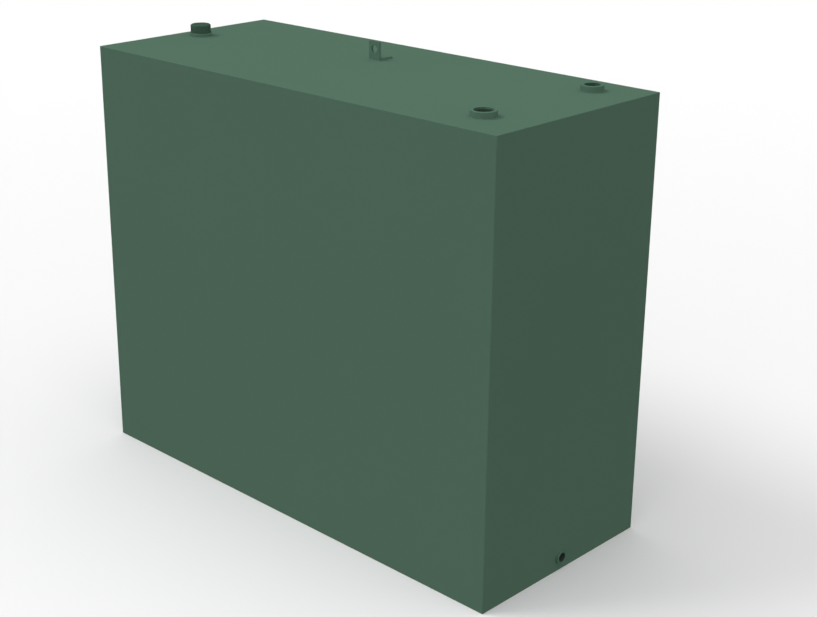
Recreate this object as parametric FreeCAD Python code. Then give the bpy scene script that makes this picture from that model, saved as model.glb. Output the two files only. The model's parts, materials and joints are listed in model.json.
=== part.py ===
import FreeCAD, Part
import os
from collections import namedtuple

from FreeCAD import Vector

# Welded steel oil tank: a plain box of flat plates with pipe sockets, a filler cap and a lifting lug.
# Millimetres, +Z up, +X towards the outlet end, -Y the front, origin at the middle of the underside.

# Box of six plates, butted at their inner edges so that a corner weld fills each outer edge
LENGTH = 1425.0
DEPTH = 600.0
HEIGHT = 1170.0
PLATE = 3.0
CORNER_RADIUS = 1.5

# Forged half couplings by pipe size: outside radius, tapped bore radius and overall length
Coupling = namedtuple("Coupling", "outside bore length")
INCH_AND_HALF = Coupling(outside=31.75, bore=22.42, length=40.0)
INCH_AND_QUARTER = Coupling(outside=28.6, bore=19.47, length=34.0)
THREE_QUARTER_INCH = Coupling(outside=17.45, bore=12.06, length=26.0)
SOCKET_CHAMFER = 0.8

# Where each socket's axis passes through its plate, and how far the socket stands out of it
FILLER_AT = (-LENGTH / 2 + 75.0, -4.0)
FILLER_STANDS = 9.7
GAUGE_AT = (578.5, -188.0)
GAUGE_STANDS = 16.3
VENT_AT = (590.0, 195.0)
VENT_STANDS = 16.3
OUTLET_Y = -5.0
OUTLET_HEIGHT = 37.0
OUTLET_STANDS = 7.0

# Fillet welds and the gap that each socket has in the hole cut for it
WELD_LEG = 1.2
HOLE_GAP = 0.5

# Filler cap: round head with a sunk top and grip grooves above a plain collar, on a screwed shank
CAP_RADIUS = 28.5
CAP_HEIGHT = 23.3
CAP_CHAMFER = 2.5
CAP_RECESS_RADIUS = 20.5
CAP_RECESS_DEPTH = 2.5
CAP_COLLAR = 3.5
CAP_GROOVES = 30
CAP_GROOVE_WIDTH = 2.2
CAP_GROOVE_DEPTH = 0.9
CAP_SHANK_LENGTH = 18.0
CAP_SHANK_GAP = 0.3

# Lifting lug: short length of equal angle, upright leg at the front, with a shackle hole
LUG_X = -40.0
LUG_FRONT_Y = 92.0
LUG_WIDTH = 38.0
ANGLE_LEG = 50.0
ANGLE_THICK = 6.0
ANGLE_ROOT_RADIUS = 7.0
ANGLE_TOE_RADIUS = 3.5
LUG_HOLE_RADIUS = 10.0
LUG_HOLE_HEIGHT = 29.5

X, Y, Z = 0, 1, 2
UP = Vector(0, 0, 1)
BOX_LOW = (-LENGTH / 2, -DEPTH / 2, 0.0)
BOX_HIGH = (LENGTH / 2, DEPTH / 2, HEIGHT)


def block(low, high):
    """Rectangular block between two opposite corners."""
    return Part.makeBox(high[X] - low[X], high[Y] - low[Y], high[Z] - low[Z], Vector(*low))


def turned(profile):
    """Solid of revolution about +Z from a closed profile of (radius, height) points."""
    points = [Vector(radius, 0, height) for radius, height in profile]
    face = Part.Face(Part.makePolygon(points + points[:1]))
    return face.revolve(Vector(), UP, 360)


# Plates

def plate(axis, at_high_side):
    """Flat plate in one face of the box, one plate thickness short of every outer edge."""
    low = [edge + PLATE for edge in BOX_LOW]
    high = [edge - PLATE for edge in BOX_HIGH]
    if at_high_side:
        low[axis] = BOX_HIGH[axis] - PLATE
        high[axis] = BOX_HIGH[axis]
    else:
        low[axis] = BOX_LOW[axis]
        high[axis] = BOX_LOW[axis] + PLATE
    return block(low, high)


def socket_hole(coupling, axis_point, direction):
    """Round cutter for the hole that a socket passes through, as long as the coupling either way."""
    start = axis_point - direction * coupling.length
    return Part.makeCylinder(coupling.outside + HOLE_GAP, 2 * coupling.length, start, direction)


# Corner welds

def box_rounded_along(axis):
    """The whole box with its four edges along one axis ground round."""
    box = block(BOX_LOW, BOX_HIGH)
    edges = [edge for edge in box.Edges if abs(edge.tangentAt(edge.FirstParameter)[axis]) > 0.5]
    return box.makeFillet(CORNER_RADIUS, edges)


def corner_weld(rounded_box, run, sides):
    """Weld metal along one outer edge of the box; sides gives, per other axis, the high face or the low."""
    low = list(BOX_LOW)
    high = list(BOX_HIGH)
    if run != X:
        low[run] += PLATE
        high[run] -= PLATE
    for axis, at_high_side in sides.items():
        if at_high_side:
            low[axis] = BOX_HIGH[axis] - PLATE
        else:
            high[axis] = BOX_LOW[axis] + PLATE
    return rounded_box.common(block(low, high))


# Sockets, modelled upright with the plate's outer face at height 0, then set in place

def half_coupling(coupling, stands):
    """Short thick tube, chamfered round the outside of its mouth and cut square at its inner end."""
    foot = stands - coupling.length
    return turned([
        (coupling.bore, foot),
        (coupling.outside, foot),
        (coupling.outside, stands - SOCKET_CHAMFER),
        (coupling.outside - SOCKET_CHAMFER, stands),
        (coupling.bore, stands),
    ])


def socket_weld(coupling):
    """Ring of equal-legged fillet weld between a plate and a socket's side."""
    return turned([
        (coupling.outside, 0),
        (coupling.outside + WELD_LEG, 0),
        (coupling.outside, WELD_LEG),
    ])


def set_in_place(solid, axis_point, direction):
    """Carry an upright solid to a point of a plate, its axis along the plate's outward normal."""
    placed = solid.copy()
    placed.Placement = FreeCAD.Placement(axis_point, FreeCAD.Rotation(UP, direction))
    return placed


# Filler cap

def grip_grooves():
    """Ring of upright V-shaped cutters that bite into the rim of the cap's head, above its collar."""
    mouth = CAP_RADIUS + CAP_GROOVE_DEPTH
    corners = [
        Vector(CAP_RADIUS - CAP_GROOVE_DEPTH, 0, CAP_COLLAR),
        Vector(mouth, CAP_GROOVE_WIDTH, CAP_COLLAR),
        Vector(mouth, -CAP_GROOVE_WIDTH, CAP_COLLAR),
    ]
    groove = Part.Face(Part.makePolygon(corners + corners[:1])).extrude(UP * CAP_HEIGHT)
    ring = []
    for number in range(CAP_GROOVES):
        turned_groove = groove.copy()
        turned_groove.rotate(Vector(), UP, 360 * number / CAP_GROOVES)
        ring.append(turned_groove)
    return Part.makeCompound(ring)


def filler_cap():
    """Turned head and shank, the head sunk on top and grooved for grip, set on the socket's mouth."""
    shank = INCH_AND_HALF.bore - CAP_SHANK_GAP
    body = turned([
        (0, -CAP_SHANK_LENGTH),
        (shank, -CAP_SHANK_LENGTH),
        (shank, 0),
        (CAP_RADIUS, 0),
        (CAP_RADIUS, CAP_HEIGHT - CAP_CHAMFER),
        (CAP_RADIUS - CAP_CHAMFER, CAP_HEIGHT),
        (CAP_RECESS_RADIUS, CAP_HEIGHT),
        (CAP_RECESS_RADIUS, CAP_HEIGHT - CAP_RECESS_DEPTH),
        (0, CAP_HEIGHT - CAP_RECESS_DEPTH),
    ])
    return body.cut(grip_grooves())


# Lifting lug

def edges_through(solid, y, z):
    """Edges of an angle section that run along X through one corner of the section."""
    corner = Vector(0, y, z)
    return [
        edge for edge in solid.Edges
        if all(Vector(0, end.Y, end.Z).isEqual(corner, 1e-6) for end in edge.Vertexes)
    ]


def lifting_lug():
    """Equal angle with rounded root and toes, upright leg at the front, one hole through that leg."""
    left = LUG_X - LUG_WIDTH / 2
    heel = (LUG_FRONT_Y, HEIGHT)
    section = [
        heel,
        (heel[0] + ANGLE_LEG, heel[1]),
        (heel[0] + ANGLE_LEG, heel[1] + ANGLE_THICK),
        (heel[0] + ANGLE_THICK, heel[1] + ANGLE_THICK),
        (heel[0] + ANGLE_THICK, heel[1] + ANGLE_LEG),
        (heel[0], heel[1] + ANGLE_LEG),
    ]
    points = [Vector(left, y, z) for y, z in section]
    angle = Part.Face(Part.makePolygon(points + points[:1])).extrude(Vector(LUG_WIDTH, 0, 0))
    foot_toe, root, upright_toe = section[2:5]
    angle = angle.makeFillet(ANGLE_ROOT_RADIUS, edges_through(angle, *root))
    toes = edges_through(angle, *foot_toe) + edges_through(angle, *upright_toe)
    angle = angle.makeFillet(ANGLE_TOE_RADIUS, toes)
    hole_start = Vector(LUG_X, LUG_FRONT_Y - ANGLE_THICK, HEIGHT + LUG_HOLE_HEIGHT)
    hole = Part.makeCylinder(LUG_HOLE_RADIUS, 3 * ANGLE_THICK, hole_start, Vector(0, 1, 0))
    return angle.cut(hole)


def lug_weld(lug):
    """Fillet weld round the lug's foot: a flat pyramid about its footprint, less the lug itself."""
    def footprint(margin, height):
        left = LUG_X - LUG_WIDTH / 2 - margin
        right = LUG_X + LUG_WIDTH / 2 + margin
        front = LUG_FRONT_Y - margin
        back = LUG_FRONT_Y + ANGLE_LEG + margin
        corners = [(left, front), (right, front), (right, back), (left, back), (left, front)]
        return Part.makePolygon([Vector(x, y, HEIGHT + height) for x, y in corners])

    pyramid = Part.makeLoft([footprint(WELD_LEG, 0), footprint(0, WELD_LEG)], True, True)
    return pyramid.cut(lug)


# Assembly

filler_seat = Vector(*FILLER_AT, HEIGHT)
gauge_seat = Vector(*GAUGE_AT, HEIGHT)
vent_seat = Vector(*VENT_AT, HEIGHT)
outlet_seat = Vector(LENGTH / 2, OUTLET_Y, OUTLET_HEIGHT)
outlet_way = Vector(1, 0, 0)

nodes = {
    "base_plate": plate(Z, False),
    "top_plate": plate(Z, True),
    "front_wall": plate(Y, False),
    "back_wall": plate(Y, True),
    "left_end": plate(X, False),
    "right_end": plate(X, True),
}

# Corner welds are named after the two faces that meet there
rounded_box = box_rounded_along(X).common(box_rounded_along(Y)).common(box_rounded_along(Z))
for level, at_top in (("base", False), ("top", True)):
    for wall, at_back in (("front", False), ("back", True)):
        nodes[f"{level}_{wall}_seam"] = corner_weld(rounded_box, X, {Y: at_back, Z: at_top})
    for end, at_right in (("left", False), ("right", True)):
        nodes[f"{level}_{end}_seam"] = corner_weld(rounded_box, Y, {X: at_right, Z: at_top})
for wall, at_back in (("front", False), ("back", True)):
    for end, at_right in (("left", False), ("right", True)):
        nodes[f"{wall}_{end}_seam"] = corner_weld(rounded_box, Z, {X: at_right, Y: at_back})

# Each socket passes through a hole in its plate and is welded round the outside
sockets = (
    ("filler_socket", "top_plate", INCH_AND_HALF, FILLER_STANDS, filler_seat, UP),
    ("gauge_socket", "top_plate", INCH_AND_HALF, GAUGE_STANDS, gauge_seat, UP),
    ("vent_socket", "top_plate", INCH_AND_QUARTER, VENT_STANDS, vent_seat, UP),
    ("outlet_socket", "right_end", THREE_QUARTER_INCH, OUTLET_STANDS, outlet_seat, outlet_way),
)
for name, carrier, coupling, stands, seat, direction in sockets:
    nodes[carrier] = nodes[carrier].cut(socket_hole(coupling, seat, direction))
    nodes[name] = set_in_place(half_coupling(coupling, stands), seat, direction)
    nodes[name + "_weld"] = set_in_place(socket_weld(coupling), seat, direction)

nodes["filler_cap"] = set_in_place(filler_cap(), filler_seat + UP * FILLER_STANDS, UP)
nodes["lifting_lug"] = lifting_lug()
nodes["lifting_lug_weld"] = lug_weld(nodes["lifting_lug"])

os.makedirs("parts", exist_ok=True)
for name, shape in nodes.items():
    shape.exportStep(f"parts/{name}.step")
    print(f"{name}: {shape.Volume / 1000:.2f} cm3, {len(shape.Solids)} solid, valid {shape.isValid()}")
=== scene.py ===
import json
import math

import bmesh
import bpy
from mathutils import Matrix, Vector, noise

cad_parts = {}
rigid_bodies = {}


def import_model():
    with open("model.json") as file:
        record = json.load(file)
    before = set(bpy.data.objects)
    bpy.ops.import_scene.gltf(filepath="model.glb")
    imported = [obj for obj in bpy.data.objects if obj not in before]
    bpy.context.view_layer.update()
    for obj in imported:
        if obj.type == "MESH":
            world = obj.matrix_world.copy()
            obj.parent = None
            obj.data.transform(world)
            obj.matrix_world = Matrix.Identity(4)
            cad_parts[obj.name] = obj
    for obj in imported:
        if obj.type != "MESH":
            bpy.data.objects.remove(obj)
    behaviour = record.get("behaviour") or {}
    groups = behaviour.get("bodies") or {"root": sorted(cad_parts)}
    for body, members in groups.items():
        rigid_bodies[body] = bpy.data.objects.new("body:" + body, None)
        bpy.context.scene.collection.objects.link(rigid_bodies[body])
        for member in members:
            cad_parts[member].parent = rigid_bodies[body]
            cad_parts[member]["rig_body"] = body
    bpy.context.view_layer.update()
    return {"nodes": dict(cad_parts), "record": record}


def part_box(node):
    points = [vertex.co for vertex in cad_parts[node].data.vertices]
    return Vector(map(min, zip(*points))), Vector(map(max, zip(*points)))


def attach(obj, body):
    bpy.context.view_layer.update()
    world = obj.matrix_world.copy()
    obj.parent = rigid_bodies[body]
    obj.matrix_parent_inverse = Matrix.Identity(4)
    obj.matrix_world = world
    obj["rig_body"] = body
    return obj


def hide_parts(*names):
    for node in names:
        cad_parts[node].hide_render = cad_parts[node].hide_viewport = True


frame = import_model()

# Tank plates: six flat sheets of mild steel, sheared to size, welded into a box and sprayed all over.
# The coat is a dead-matt grey-green paint with the faint clouds of the spray gun's passes and a fine
# orange peel; close to the box's edges it lies over the band where the corner welds were ground flush.


class Flow:
    """One output of a shader node: arithmetic on it adds Math nodes, and node() adds any other kind."""

    def __init__(self, tree, socket=None):
        self.tree = tree
        self.socket = socket

    def node(self, kind, settings, inputs, output=0):
        made = self.tree.nodes.new(kind)
        for name, value in settings.items():
            setattr(made, name, value)
        for name, value in inputs.items():
            if isinstance(value, Flow):
                self.tree.links.new(value.socket, made.inputs[name])
            else:
                made.inputs[name].default_value = value
        return Flow(self.tree, made.outputs[output] if made.outputs else None)

    def output(self, name):
        """Another output of the same node."""
        return Flow(self.tree, self.socket.node.outputs[name])

    def math(self, operation, first, second):
        return self.node("ShaderNodeMath", {"operation": operation}, {0: first, 1: second})

    def __add__(self, other):
        return self.math("ADD", self, other)

    __radd__ = __add__

    def __sub__(self, other):
        return self.math("SUBTRACT", self, other)

    def __rsub__(self, other):
        return self.math("SUBTRACT", other, self)

    def __mul__(self, other):
        return self.math("MULTIPLY", self, other)

    __rmul__ = __mul__

    def __pow__(self, other):
        return self.math("POWER", self, other)


def grain(place, per_metre, detail):
    """Noise from 0 to 1, with about so many features to a metre."""
    return place.node(
        "ShaderNodeTexNoise", {}, {"Vector": place, "Scale": per_metre, "Detail": detail}, "Fac"
    )


def blend_colours(share, first, second):
    """Mix node set to colours: its sockets 6 and 7 take the two of them, and its output 2 is the blend."""
    return share.node(
        "ShaderNodeMix", {"data_type": "RGBA"}, {0: share, 6: first, 7: second}, 2
    )


CLOUDS_PER_METRE = 2.3
MOTTLES_PER_METRE = 70.0
CLOUD_SHARE = 0.7
COAT_ROUGHNESS = 0.62
CLOUD_ROUGHNESS = 0.12
MOTTLE_ROUGHNESS = 0.08


def coated(name, thin_coat, full_coat, sheen, relief):
    """A coloured coat over a surface whose own relief, in metres, comes from relief(place)."""
    material = bpy.data.materials.new(name)
    material.use_nodes = True
    material.node_tree.nodes.clear()
    place = Flow(material.node_tree).node("ShaderNodeTexCoord", {}, {}, "Object")
    clouds = grain(place, CLOUDS_PER_METRE, detail=3.0)
    mottle = grain(place, MOTTLES_PER_METRE, detail=2.0)
    thickness = clouds * CLOUD_SHARE + mottle * (1 - CLOUD_SHARE)
    roughness = (
        COAT_ROUGHNESS + CLOUD_ROUGHNESS * (clouds - 0.5) + MOTTLE_ROUGHNESS * (mottle - 0.5)
    )
    surface = place.node("ShaderNodeBsdfPrincipled", {}, {
        "Base Color": blend_colours(thickness, thin_coat, full_coat),
        "Roughness": roughness,
        "Specular IOR Level": sheen,
        "Normal": place.node("ShaderNodeBump", {}, {"Distance": 1.0, "Height": relief(place)}),
    })
    place.node("ShaderNodeOutputMaterial", {}, {"Surface": surface})
    return material


def dress(node, material):
    """Give a CAD node a finish in place of its plain one."""
    frame["nodes"][node].material_slots[0].material = material


PAINT_THIN = (0.0854, 0.1561, 0.1112, 1)
PAINT_FULL = (0.0905, 0.1660, 0.1182, 1)
PAINT_SHEEN = 0.0
PEEL_PER_METRE = 330.0
PEEL_HEIGHT = 0.00002
GROUND_BAND = 0.012
GROUND_PER_METRE = 75.0
GROUND_HEIGHT = 0.00009

box_low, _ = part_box("base_front_seam")
_, box_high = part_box("top_back_seam")


def edge_band(place):
    """1 at the box's edges, falling to 0 where the ground band ends."""
    axes = place.node("ShaderNodeSeparateXYZ", {}, {"Vector": place})
    depths = []
    for index, axis in enumerate("XYZ"):
        middle = (box_low[index] + box_high[index]) / 2
        half = (box_high[index] - box_low[index]) / 2
        along = axes.output(axis) - middle
        depths.append(half - along.math("ABSOLUTE", along, 0.0))
    nearer = place.math("MINIMUM", depths[0], depths[1])
    further = place.math("MAXIMUM", depths[0], depths[1])
    to_edge = place.math("MAXIMUM", nearer, place.math("MINIMUM", further, depths[2]))
    return place.node(
        "ShaderNodeMapRange", {"interpolation_type": "SMOOTHSTEP"},
        {"Value": to_edge, "From Min": 0.0, "From Max": GROUND_BAND, "To Min": 1.0, "To Max": 0.0},
    )


def orange_peel(place):
    """Height of the fine dimples that the spray dries with."""
    return grain(place, PEEL_PER_METRE, detail=1.0) * PEEL_HEIGHT


def plate_relief(place):
    ground = grain(place, GROUND_PER_METRE, detail=2.0) * edge_band(place) * GROUND_HEIGHT
    return orange_peel(place) + ground


plate_paint = coated("plate_paint", PAINT_THIN, PAINT_FULL, PAINT_SHEEN, plate_relief)
for plate in ("base_plate", "top_plate", "front_wall", "back_wall", "left_end", "right_end"):
    dress(plate, plate_paint)

# Corner welds: a run of weld metal in the open corner between each two plates, ground flush with both
# and slightly rounded over by the disc. The same paint covers the long low waves that grinding leaves.

WAVES_PER_METRE = 45.0
WAVE_HEIGHT = 0.00012


def ground_relief(place):
    return orange_peel(place) + grain(place, WAVES_PER_METRE, detail=2.5) * WAVE_HEIGHT


ground_paint = coated("ground_paint", PAINT_THIN, PAINT_FULL, PAINT_SHEEN, ground_relief)
for node in frame["nodes"]:
    if node.endswith("_seam"):
        dress(node, ground_paint)

# Pipe sockets: forged steel half couplings set through the plates, bored and tapped with a parallel pipe
# thread. The rim has its edge broken and is painted with the tank. Inside, the bores take darkened copies
# of the paint green as painted shade: slightly darker in the sockets on the top, much darker in the outlet.

UP = Vector((0, 0, 1))
TOLERANCE = 1e-6


def lathe(bm, profile, steps, closed):
    """Spin a profile of (radius, height) points once round the Z axis."""
    points = [bm.verts.new((radius, 0, height)) for radius, height in profile]
    ends = points[1:] + points[:1] if closed else points[1:]
    edges = [bm.edges.new(pair) for pair in zip(points, ends)]
    bmesh.ops.spin(
        bm, geom=points + edges, cent=(0, 0, 0), axis=UP,
        angle=2 * math.pi, steps=steps, use_merge=True,
    )


THREAD_STEPS = 48
CREST_SHARE = 0.44
CREST_HALF_WIDTH = 0.06
RIDGE_SHARE = 0.88
RUN_OUT_TURNS = 0.2
RUN_OUT_LEAST = 0.1


def thread(bm, root, crest, pitch, low, high):
    """Helical ridge of a pipe thread, root against the wall that carries it, fading out at both ends."""
    section = (
        (root, 0.0),
        (crest, CREST_SHARE - CREST_HALF_WIDTH),
        (crest, CREST_SHARE + CREST_HALF_WIDTH),
        (root, RIDGE_SHARE),
    )
    points = [bm.verts.new((radius, 0, low + share * pitch)) for radius, share in section]
    edges = [bm.edges.new(pair) for pair in zip(points, points[1:] + points[:1])]
    turns = (high - low) / pitch - 1
    steps = round(turns * THREAD_STEPS)
    bmesh.ops.spin(
        bm, geom=points + edges, cent=(0, 0, 0), axis=UP, angle=2 * math.pi * turns,
        steps=steps, dvec=UP * (pitch * turns / steps),
    )
    bmesh.ops.edgeloop_fill(bm, edges=[edge for edge in bm.edges if edge.is_boundary])
    for vert in bm.verts:
        if abs(math.hypot(vert.co.x, vert.co.y) - crest) < TOLERANCE:
            turned = (vert.co.z - low) / pitch - CREST_SHARE
            fade = min(max(min(turned, turns - turned) / RUN_OUT_TURNS, RUN_OUT_LEAST), 1)
            pull = (root + (crest - root) * fade) / crest
            vert.co.x *= pull
            vert.co.y *= pull


def soften(bm, width, sharper_than):
    """Round every edge that turns by more than an angle in degrees, as a coat of paint does."""
    sharp = [edge for edge in bm.edges if edge.calc_face_angle(0) > math.radians(sharper_than)]
    bmesh.ops.bevel(
        bm, geom=sharp, offset=width, offset_type="OFFSET", affect="EDGES",
        segments=2, profile=0.5, material=-1, clamp_overlap=True,
    )


CREASE_FROM = math.radians(38)


def finish_piece(name, bm, place, materials, node):
    """Set an upright mesh in its place on the tank and let it stand for its CAD node."""
    bmesh.ops.remove_doubles(bm, verts=bm.verts, dist=TOLERANCE)
    bmesh.ops.recalc_face_normals(bm, faces=bm.faces)
    bmesh.ops.transform(bm, matrix=place, verts=bm.verts)
    mesh = bpy.data.meshes.new(name)
    bm.to_mesh(mesh)
    bm.free()
    mesh.shade_smooth()
    mesh.set_sharp_from_angle(angle=CREASE_FROM)
    for material in materials:
        mesh.materials.append(material)
    piece = bpy.data.objects.new(name, mesh)
    piece.modifiers.new("level_faces", "WEIGHTED_NORMAL").keep_sharp = True
    bpy.context.scene.collection.objects.link(piece)
    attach(piece, frame["nodes"][node]["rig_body"])
    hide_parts(node)


def upright_to(point, direction):
    """Carries a piece modelled about +Z, with its mouth at the origin, to a point facing a direction."""
    return Matrix.Translation(point) @ UP.rotation_difference(direction).to_matrix().to_4x4()


FORGED_PER_METRE = 140.0
FORGED_HEIGHT = 0.00006
CUT_PER_METRE = 600.0
CUT_HEIGHT = 0.00002


def forged_relief(place):
    return orange_peel(place) + grain(place, FORGED_PER_METRE, detail=3.0) * FORGED_HEIGHT


def cut_relief(place):
    return grain(place, CUT_PER_METRE, detail=2.0) * CUT_HEIGHT


# Slightly darker copies of the paint green, painted into the top sockets' bores as shade.
BORE_SHADE_THIN = (0.0743, 0.1358, 0.0967, 1)
BORE_SHADE_FULL = (0.0787, 0.1444, 0.1028, 1)
# A much darker copy of the paint green with a slight gloss, painted into the outlet's bore as deep shade.
OUTLET_BORE_SHADE_THIN = (0.0500, 0.0830, 0.0620, 1)
OUTLET_BORE_SHADE_FULL = (0.0360, 0.0600, 0.0455, 1)
OUTLET_BORE_SHEEN = 0.1

forged_paint = coated("forged_paint", PAINT_THIN, PAINT_FULL, PAINT_SHEEN, forged_relief)
top_bore_shade = coated("top_bore_shade", BORE_SHADE_THIN, BORE_SHADE_FULL, PAINT_SHEEN, cut_relief)
outlet_bore_shade = coated("outlet_bore_shade", OUTLET_BORE_SHADE_THIN, OUTLET_BORE_SHADE_FULL, OUTLET_BORE_SHEEN, cut_relief)

TO_THE_RIGHT = Vector((1, 0, 0))
INCH = 0.0254
PITCH_11_PER_INCH = INCH / 11
PITCH_14_PER_INCH = INCH / 14
THREAD_DEPTH_SHARE = 0.6403
LARGE_CORE = 0.02242
LARGE_MOUTH = 0.0236
MIDDLE_CORE = 0.01947
MIDDLE_MOUTH = 0.0197
SMALL_CORE = 0.01206
SMALL_MOUTH = 0.0122
SOCKET_STEPS = 96
EDGE_BREAK_SHARE = 0.025
MOUTH_LAND = 0.0012
LEAD_IN_TURNS = 0.25
RIM_ROUNDING = 0.0003
RIM_SHARPER_THAN = 50
RIDGE_SINK = 0.0001

sockets = (
    ("filler_socket", UP, PITCH_11_PER_INCH, LARGE_CORE, LARGE_MOUTH, top_bore_shade),
    ("gauge_socket", UP, PITCH_11_PER_INCH, LARGE_CORE, LARGE_MOUTH, top_bore_shade),
    ("vent_socket", UP, PITCH_11_PER_INCH, MIDDLE_CORE, MIDDLE_MOUTH, top_bore_shade),
    ("outlet_socket", TO_THE_RIGHT, PITCH_14_PER_INCH, SMALL_CORE, SMALL_MOUTH, outlet_bore_shade),
)
for node, direction, pitch, core, mouth_radius, bore_painted_shade in sockets:
    low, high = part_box(node)
    extent = high - low
    length = extent.dot(direction)
    outside = (extent.x + extent.y + extent.z - length) / 4
    mouth = (low + high) / 2 + direction * length / 2
    root = core + THREAD_DEPTH_SHARE * pitch
    edge_break = EDGE_BREAK_SHARE * outside
    lead_in = LEAD_IN_TURNS * pitch
    bm = bmesh.new()
    lathe(bm, (
        (root, -length),
        (outside, -length),
        (outside, -edge_break),
        (outside - edge_break, 0),
        (mouth_radius, 0),
        (mouth_radius, -MOUTH_LAND),
        (root, -MOUTH_LAND - lead_in),
    ), SOCKET_STEPS, closed=True)
    soften(bm, RIM_ROUNDING, RIM_SHARPER_THAN)
    thread(bm, root + RIDGE_SINK, core, pitch, lead_in - length, -MOUTH_LAND)
    # Faces on the thread take the second material, the bore's painted shade.
    for face in bm.faces:
        middle = face.calc_center_median()
        face.material_index = int(math.hypot(middle.x, middle.y) < root + 2 * RIDGE_SINK)
    finish_piece(
        node + "_tapped", bm, upright_to(mouth, direction), (forged_paint, bore_painted_shade),
        node,
    )

# Socket welds: one thin run of fillet weld round each socket, laid by hand, so its face is a row of
# overlapping ripples and its toe is slightly scalloped. It was brushed clean and painted with the rest.

ARC_POINTS = 5
WELD_SINK = 0.0004


def bead_section(leg):
    """Section of a fillet weld, (out along the plate, up the side), bowed a third of the way to an arc."""
    crown = [
        (leg * math.cos(turn), leg * math.sin(turn))
        for turn in (math.pi / 2 * step / ARC_POINTS for step in range(ARC_POINTS + 1))
    ]
    flat = [(leg * (1 - step / ARC_POINTS), leg * step / ARC_POINTS) for step in range(ARC_POINTS + 1)]
    face = [
        ((arc[0] + 2 * line[0]) / 3, (arc[1] + 2 * line[1]) / 3)
        for arc, line in zip(crown, flat)
    ]
    return [(-WELD_SINK, -WELD_SINK), (leg, -WELD_SINK), *face, (-WELD_SINK, leg)]


RIPPLE_PITCH = 0.0016
RIPPLE_SHARE = 0.2
RIPPLE_MEAN = 0.6
RIPPLE_BOW = 0.45
STEPS_PER_RIPPLE = 6
HAND_SHARE = 0.08
HAND_PER_METRE = 60
HAND_APART = 9


def ripple(bm, root_of):
    """Swell a bead about its root in uneven crescents; root_of(point) gives the root and the run so far."""
    for vert in bm.verts:
        root, run = root_of(vert.co)
        arm = vert.co - root
        lean = math.atan2(arm.z, math.hypot(arm.x, arm.y)) / (math.pi / 2)
        crescent = RIPPLE_BOW * (2 * lean - 1) ** 2
        swell = abs(math.sin(math.pi * (run / RIPPLE_PITCH + crescent))) - RIPPLE_MEAN
        hand = noise.noise(Vector((run * HAND_PER_METRE, root.x * HAND_APART, root.y * HAND_APART)))
        if arm.z > 0 and arm.length > WELD_SINK:
            vert.co = root + arm * (1 + RIPPLE_SHARE * swell + HAND_SHARE * hand)


def ring_root(outside, ripples):
    """The root of a bead that runs round a socket in a whole number of ripples."""
    def root_of(point):
        turn = math.atan2(point.y, point.x)
        root = Vector((outside * math.cos(turn), outside * math.sin(turn), 0))
        return root, turn / (2 * math.pi) * ripples * RIPPLE_PITCH
    return root_of


bead_paint = coated("bead_paint", PAINT_THIN, PAINT_FULL, PAINT_SHEEN, ground_relief)
for node, direction, *_ in sockets:
    low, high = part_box(node + "_weld")
    extent = high - low
    leg = extent.dot(direction)
    seat = (low + high) / 2 - direction * leg / 2
    outside = (extent.x + extent.y + extent.z - leg) / 4 - leg
    ripples = round(2 * math.pi * outside / RIPPLE_PITCH)
    bm = bmesh.new()
    lathe(
        bm, [(outside + out, up) for out, up in bead_section(leg)],
        ripples * STEPS_PER_RIPPLE, closed=True,
    )
    ripple(bm, ring_root(outside, ripples))
    finish_piece(
        node + "_bead", bm, upright_to(seat, direction), (bead_paint,), node + "_weld"
    )

# Lifting lug: a short sawn length of rolled steel angle standing on the top plate, with a shackle hole
# drilled through its upright leg. Rolling left the root and the toes round, sawing left the ends square.

eye = next(mount for mount in frame["record"]["mounts"] if mount["name"] == "lug_eye")
ANGLE_THICK = eye["dims"]["length_mm"] / 1000
HOLE_RADIUS = eye["dims"]["r_mm"] / 1000
HOLE_STEPS = 48
ROOT_RADIUS = 0.007
TOE_RADIUS = 0.0035
ROLLED_SEGMENTS = 6
SAWN_ROUNDING = 0.0005
SAWN_SHARPER_THAN = 40

lug_low, lug_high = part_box("lifting_lug")
middle_x = (lug_low.x + lug_high.x) / 2
eye_height = eye["pos_m"][2]
foot_top = lug_low.z + ANGLE_THICK
heel_line = lug_low.y + ANGLE_THICK


def at_height(edge, height):
    return all(abs(vert.co.z - height) < TOLERANCE for vert in edge.verts)


def along_x(y, z):
    """Edges that run along the lug through one corner of its section."""
    return [
        edge for edge in bm.edges
        if at_height(edge, z) and all(abs(vert.co.y - y) < TOLERANCE for vert in edge.verts)
    ]


def moved(extruded, kind):
    return [item for item in extruded["geom"] if isinstance(item, kind)]


bm = bmesh.new()
bmesh.ops.create_circle(
    bm, segments=HOLE_STEPS, radius=HOLE_RADIUS,
    matrix=Matrix.Translation((middle_x, lug_low.y, eye_height)) @ Matrix.Rotation(math.pi / 2, 4, "X"),
)
leg_corners = (
    (lug_low.x, foot_top), (lug_high.x, foot_top), (lug_high.x, lug_high.z), (lug_low.x, lug_high.z),
)
corners = [bm.verts.new((x, lug_low.y, z)) for x, z in leg_corners]
outline = [bm.edges.new(pair) for pair in zip(corners, corners[1:] + corners[:1])]
bmesh.ops.subdivide_edges(bm, edges=outline, cuts=HOLE_STEPS // 4 - 1)
bmesh.ops.bridge_loops(bm, edges=bm.edges)
foot_line = [edge for edge in bm.edges if at_height(edge, foot_top)]
strip = bmesh.ops.extrude_edge_only(bm, edges=foot_line)
bmesh.ops.translate(bm, verts=moved(strip, bmesh.types.BMVert), vec=(0, 0, -ANGLE_THICK))
through = bmesh.ops.extrude_face_region(bm, geom=bm.faces[:], use_keep_orig=True)
bmesh.ops.translate(bm, verts=moved(through, bmesh.types.BMVert), vec=(0, ANGLE_THICK, 0))
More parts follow.
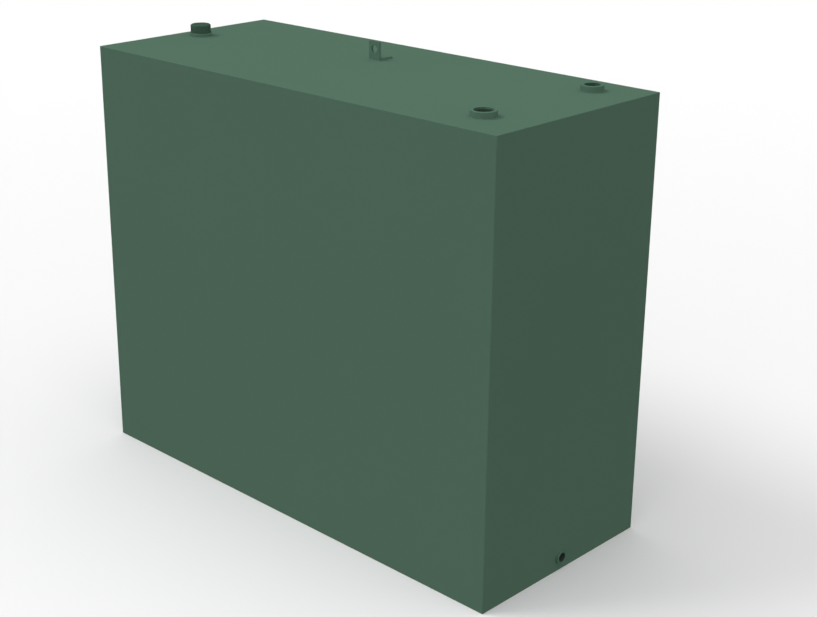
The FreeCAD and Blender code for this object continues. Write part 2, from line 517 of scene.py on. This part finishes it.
heel_faces = [
    face for face in moved(through, bmesh.types.BMFace)
    if face.calc_center_median().z < foot_top
]
foot = bmesh.ops.extrude_face_region(bm, geom=heel_faces)
bmesh.ops.delete(bm, geom=heel_faces, context="FACES_ONLY")
bmesh.ops.translate(
    bm, verts=moved(foot, bmesh.types.BMVert), vec=(0, lug_high.y - lug_low.y - ANGLE_THICK, 0)
)
bmesh.ops.recalc_face_normals(bm, faces=bm.faces)
for edges, radius in (
    (along_x(heel_line, foot_top), ROOT_RADIUS),
    (along_x(lug_high.y, foot_top), TOE_RADIUS),
    (along_x(heel_line, lug_high.z), TOE_RADIUS),
):
    bmesh.ops.bevel(
        bm, geom=edges, offset=radius, offset_type="OFFSET", affect="EDGES",
        segments=ROLLED_SEGMENTS, profile=0.5, material=-1,
    )
soften(bm, SAWN_ROUNDING, SAWN_SHARPER_THAN)
finish_piece("lifting_lug_rolled", bm, Matrix(), (forged_paint,), "lifting_lug")

# Lug weld: a thin fillet run laid by hand right round the lug's foot, turning its corners in one pass.
# It has the same ripples as the socket welds, and was brushed clean and painted with the rest.

CORNER_STEPS = 8

weld_low, weld_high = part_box("lifting_lug_weld")
leg = weld_high.z - weld_low.z
foot_low = Vector((weld_low.x + leg, weld_low.y + leg, weld_low.z))
foot_high = Vector((weld_high.x - leg, weld_high.y - leg, weld_low.z))
width = foot_high.x - foot_low.x
reach = foot_high.y - foot_low.y
bm = bmesh.new()
section = [
    bm.verts.new((foot_low.x, foot_low.y - out, foot_low.z + up)) for out, up in bead_section(leg)
]
edges = [bm.edges.new(pair) for pair in zip(section, section[1:] + section[:1])]
sweep = section + edges
corner = Vector(foot_low)
heading = Vector((1, 0, 0))
for run in (width, reach, width, reach):
    steps = round(run / RIPPLE_PITCH) * STEPS_PER_RIPPLE
    sweep = bmesh.ops.spin(bm, geom=sweep, angle=0, steps=steps, dvec=heading * (run / steps))["geom_last"]
    corner += heading * run
    sweep = bmesh.ops.spin(
        bm, geom=sweep, cent=corner, axis=UP, angle=math.pi / 2, steps=CORNER_STEPS
    )["geom_last"]
    heading = Vector((-heading.y, heading.x, 0))
bmesh.ops.remove_doubles(bm, verts=bm.verts, dist=TOLERANCE)


def foot_root(point):
    root = Vector((
        min(max(point.x, foot_low.x), foot_high.x),
        min(max(point.y, foot_low.y), foot_high.y),
        foot_low.z,
    ))
    return root, root.x + root.y


ripple(bm, foot_root)
finish_piece("lifting_lug_bead", bm, Matrix(), (bead_paint,), "lifting_lug_weld")

# Filler cap: a moulded plastic screw cap in a darker green, its round head dished on top and ribbed for
# grip above a plain collar, its shank screwed into the filler socket. The mould left a fine matt texture.

CAP_GROOVES = 30
STEPS_PER_GROOVE = 10
GROOVE_DEPTH = 0.0009
COLLAR = 0.0035
HEAD_CHAMFER = 0.0025
SHANK_CHAMFER = 0.002
SHANK_CLEARANCE = 0.0003
RECESS_RADIUS = 0.0205
RECESS_FLOOR = 0.0145
RECESS_DEPTH = 0.0025
RECESS_EASE = 0.0005

cap_low, cap_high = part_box("filler_cap")
seat_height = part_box("filler_socket")[1].z
cap_middle = (cap_low + cap_high) / 2
head_radius = (cap_high.x - cap_low.x) / 2
head_height = cap_high.z - seat_height
shank_length = seat_height - cap_low.z
shank_crest = LARGE_CORE - SHANK_CLEARANCE
shank_core = shank_crest - THREAD_DEPTH_SHARE * PITCH_11_PER_INCH
recess_ease_drop = RECESS_EASE * RECESS_DEPTH / (RECESS_RADIUS - RECESS_FLOOR)
bm = bmesh.new()
lathe(bm, [
    (0, -shank_length),
    (shank_core - SHANK_CHAMFER, -shank_length),
    (shank_core, SHANK_CHAMFER - shank_length),
    (shank_core, 0),
    (head_radius - RIM_ROUNDING, 0),
    (head_radius, RIM_ROUNDING),
    (head_radius, COLLAR - RIM_ROUNDING),
    (head_radius - RIM_ROUNDING, COLLAR),
    (head_radius, COLLAR + 2 * RIM_ROUNDING),
    (head_radius, head_height - HEAD_CHAMFER - RIM_ROUNDING),
    (head_radius - RIM_ROUNDING, head_height - HEAD_CHAMFER + RIM_ROUNDING),
    (head_radius - HEAD_CHAMFER + RIM_ROUNDING, head_height - RIM_ROUNDING),
    (head_radius - HEAD_CHAMFER - RIM_ROUNDING, head_height),
    (RECESS_RADIUS + RECESS_EASE, head_height),
    (RECESS_RADIUS - RECESS_EASE, head_height - recess_ease_drop),
    (RECESS_FLOOR + RECESS_EASE, head_height - RECESS_DEPTH + recess_ease_drop),
    (RECESS_FLOOR - RECESS_EASE, head_height - RECESS_DEPTH),
    (0, head_height - RECESS_DEPTH),
], CAP_GROOVES * STEPS_PER_GROOVE, closed=False)
for vert in bm.verts:
    out = math.hypot(vert.co.x, vert.co.y)
    if vert.co.z > COLLAR - RIM_ROUNDING / 2 and out > head_radius - HEAD_CHAMFER:
        wave = 0.5 + 0.5 * math.cos(CAP_GROOVES * math.atan2(vert.co.y, vert.co.x))
        fade = (out - head_radius + HEAD_CHAMFER) / HEAD_CHAMFER
        pinch = 1 - GROOVE_DEPTH * fade * wave ** 2 / out
        vert.co.x *= pinch
        vert.co.y *= pinch
thread(
    bm, shank_core - RIDGE_SINK, shank_crest, PITCH_11_PER_INCH,
    SHANK_CHAMFER - shank_length, -PITCH_11_PER_INCH / 2,
)

PLASTIC_SHADE = (0.0500, 0.0928, 0.0666, 1)
PLASTIC_FULL = (0.0547, 0.1012, 0.0726, 1)
PLASTIC_SHEEN = 0.0
MOULD_PER_METRE = 900.0
MOULD_HEIGHT = 0.00003


def moulded_relief(place):
    return grain(place, MOULD_PER_METRE, detail=2.0) * MOULD_HEIGHT


cap_plastic = coated("cap_plastic", PLASTIC_SHADE, PLASTIC_FULL, PLASTIC_SHEEN, moulded_relief)
finish_piece(
    "filler_cap_moulded", bm, Matrix.Translation((cap_middle.x, cap_middle.y, seat_height)),
    (cap_plastic,), "filler_cap",
)

# Studio: a wide floor of pale paper, palest far out, before a white surround. The light is a soft sky,
# strongest low down and overhead, a lamp high at the front left and a very broad one above the front. The
# camera stands where the photo was taken.

WHITE = (1, 1, 1, 1)
FLOOR_NEAR = (0.905, 0.905, 0.905, 1)
FLOOR_FAR = (0.932, 0.932, 0.932, 1)
PALER_FROM = 2.5
PALEST_AT = 5.5
FLOOR_BOUNCE = 0.167
FLOOR_HALF = 300.0


def seen_directly(tree):
    """1 for what the camera sees, itself or in a gloss or through glass, and 0 for light that falls on."""
    rays = tree.node("ShaderNodeLightPath", {}, {}, "Is Camera Ray")
    gloss = rays.output("Is Glossy Ray")
    clear = rays.output("Is Transmission Ray")
    return rays.math("MAXIMUM", rays, rays.math("MAXIMUM", gloss, clear))


bm = bmesh.new()
bmesh.ops.create_grid(bm, x_segments=1, y_segments=1, size=FLOOR_HALF)
floor_mesh = bpy.data.meshes.new("floor")
bm.to_mesh(floor_mesh)
bm.free()
floor = bpy.data.objects.new("floor", floor_mesh)
bpy.context.scene.collection.objects.link(floor)
floor_paper = bpy.data.materials.new("floor_paper")
floor_paper.use_nodes = True
floor_paper.node_tree.nodes.clear()
paper = Flow(floor_paper.node_tree).node("ShaderNodeTexCoord", {}, {}, "Object")
apart = paper.node("ShaderNodeVectorMath", {"operation": "LENGTH"}, {0: paper}, "Value")
paler = apart.node(
    "ShaderNodeMapRange", {}, {"Value": apart, "From Min": PALER_FROM, "From Max": PALEST_AT}
)
glow = paper.node("ShaderNodeEmission", {}, {"Color": WHITE, "Strength": FLOOR_BOUNCE})
matt = paper.node("ShaderNodeBsdfDiffuse", {}, {"Color": blend_colours(paler, FLOOR_NEAR, FLOOR_FAR)})
sheet = paper.node("ShaderNodeMixShader", {}, {0: seen_directly(paper), 1: glow, 2: matt})
paper.node("ShaderNodeOutputMaterial", {}, {"Surface": sheet})
floor_mesh.materials.append(floor_paper)

SKY_HORIZON = 3.30
SKY_OVERHEAD = 1.64
SKY_FALL = 6.0
world = bpy.data.worlds.new("surround")
bpy.context.scene.world = world
world.use_nodes = True
world.node_tree.nodes.clear()
way = Flow(world.node_tree).node("ShaderNodeTexCoord", {}, {}, "Generated")
height = way.node("ShaderNodeSeparateXYZ", {}, {"Vector": way}, "Z")
height = height.math("MAXIMUM", height, 0.0)
sky = SKY_HORIZON * (1.0 - height) ** SKY_FALL + SKY_OVERHEAD * height ** SKY_FALL
seen = seen_directly(way)
light = way.node("ShaderNodeBackground", {}, {"Color": WHITE, "Strength": sky * (1.0 - seen) + seen})
way.node("ShaderNodeOutputWorld", {}, {"Surface": light})

KEY_LEVEL = 0.222
KEY_FROM = Vector((-0.489, -0.424, 0.763))
KEY_SPREAD = math.radians(25.4)
FILL_LEVEL = 0.327
FILL_FROM = Vector((0.204, -0.384, 0.900))
FILL_SPREAD = math.radians(119)
for name, level, source, spread in (
    ("key_lamp", KEY_LEVEL, KEY_FROM, KEY_SPREAD),
    ("fill_lamp", FILL_LEVEL, FILL_FROM, FILL_SPREAD),
):
    lamp = bpy.data.objects.new(name, bpy.data.lights.new(name, "SUN"))
    lamp.data.energy = math.pi * level / source.normalized().z
    lamp.data.angle = spread
    lamp.rotation_euler = source.to_track_quat("Z", "Y").to_euler()
    bpy.context.scene.collection.objects.link(lamp)

CAMERA_PLACE = (2.7094, -2.6989, 1.9508)
CAMERA_HEADING = math.radians(45.0)
CAMERA_DIP = math.radians(19.797)
LENS_MM = 66.34
SENSOR_MM = 36.0
SHIFT_ACROSS = 0.0557
SHIFT_UP = -0.0277
VIEW_DEPTH = 200.0
camera = bpy.data.objects.new("camera", bpy.data.cameras.new("camera"))
camera.data.lens = LENS_MM
camera.data.sensor_width = SENSOR_MM
camera.data.shift_x = SHIFT_ACROSS
camera.data.shift_y = SHIFT_UP
camera.data.clip_end = VIEW_DEPTH
camera.location = CAMERA_PLACE
camera.rotation_euler = (math.pi / 2 - CAMERA_DIP, 0, CAMERA_HEADING)
bpy.context.scene.collection.objects.link(camera)
bpy.context.scene.camera = camera
bpy.context.scene.view_settings.view_transform = "Standard"
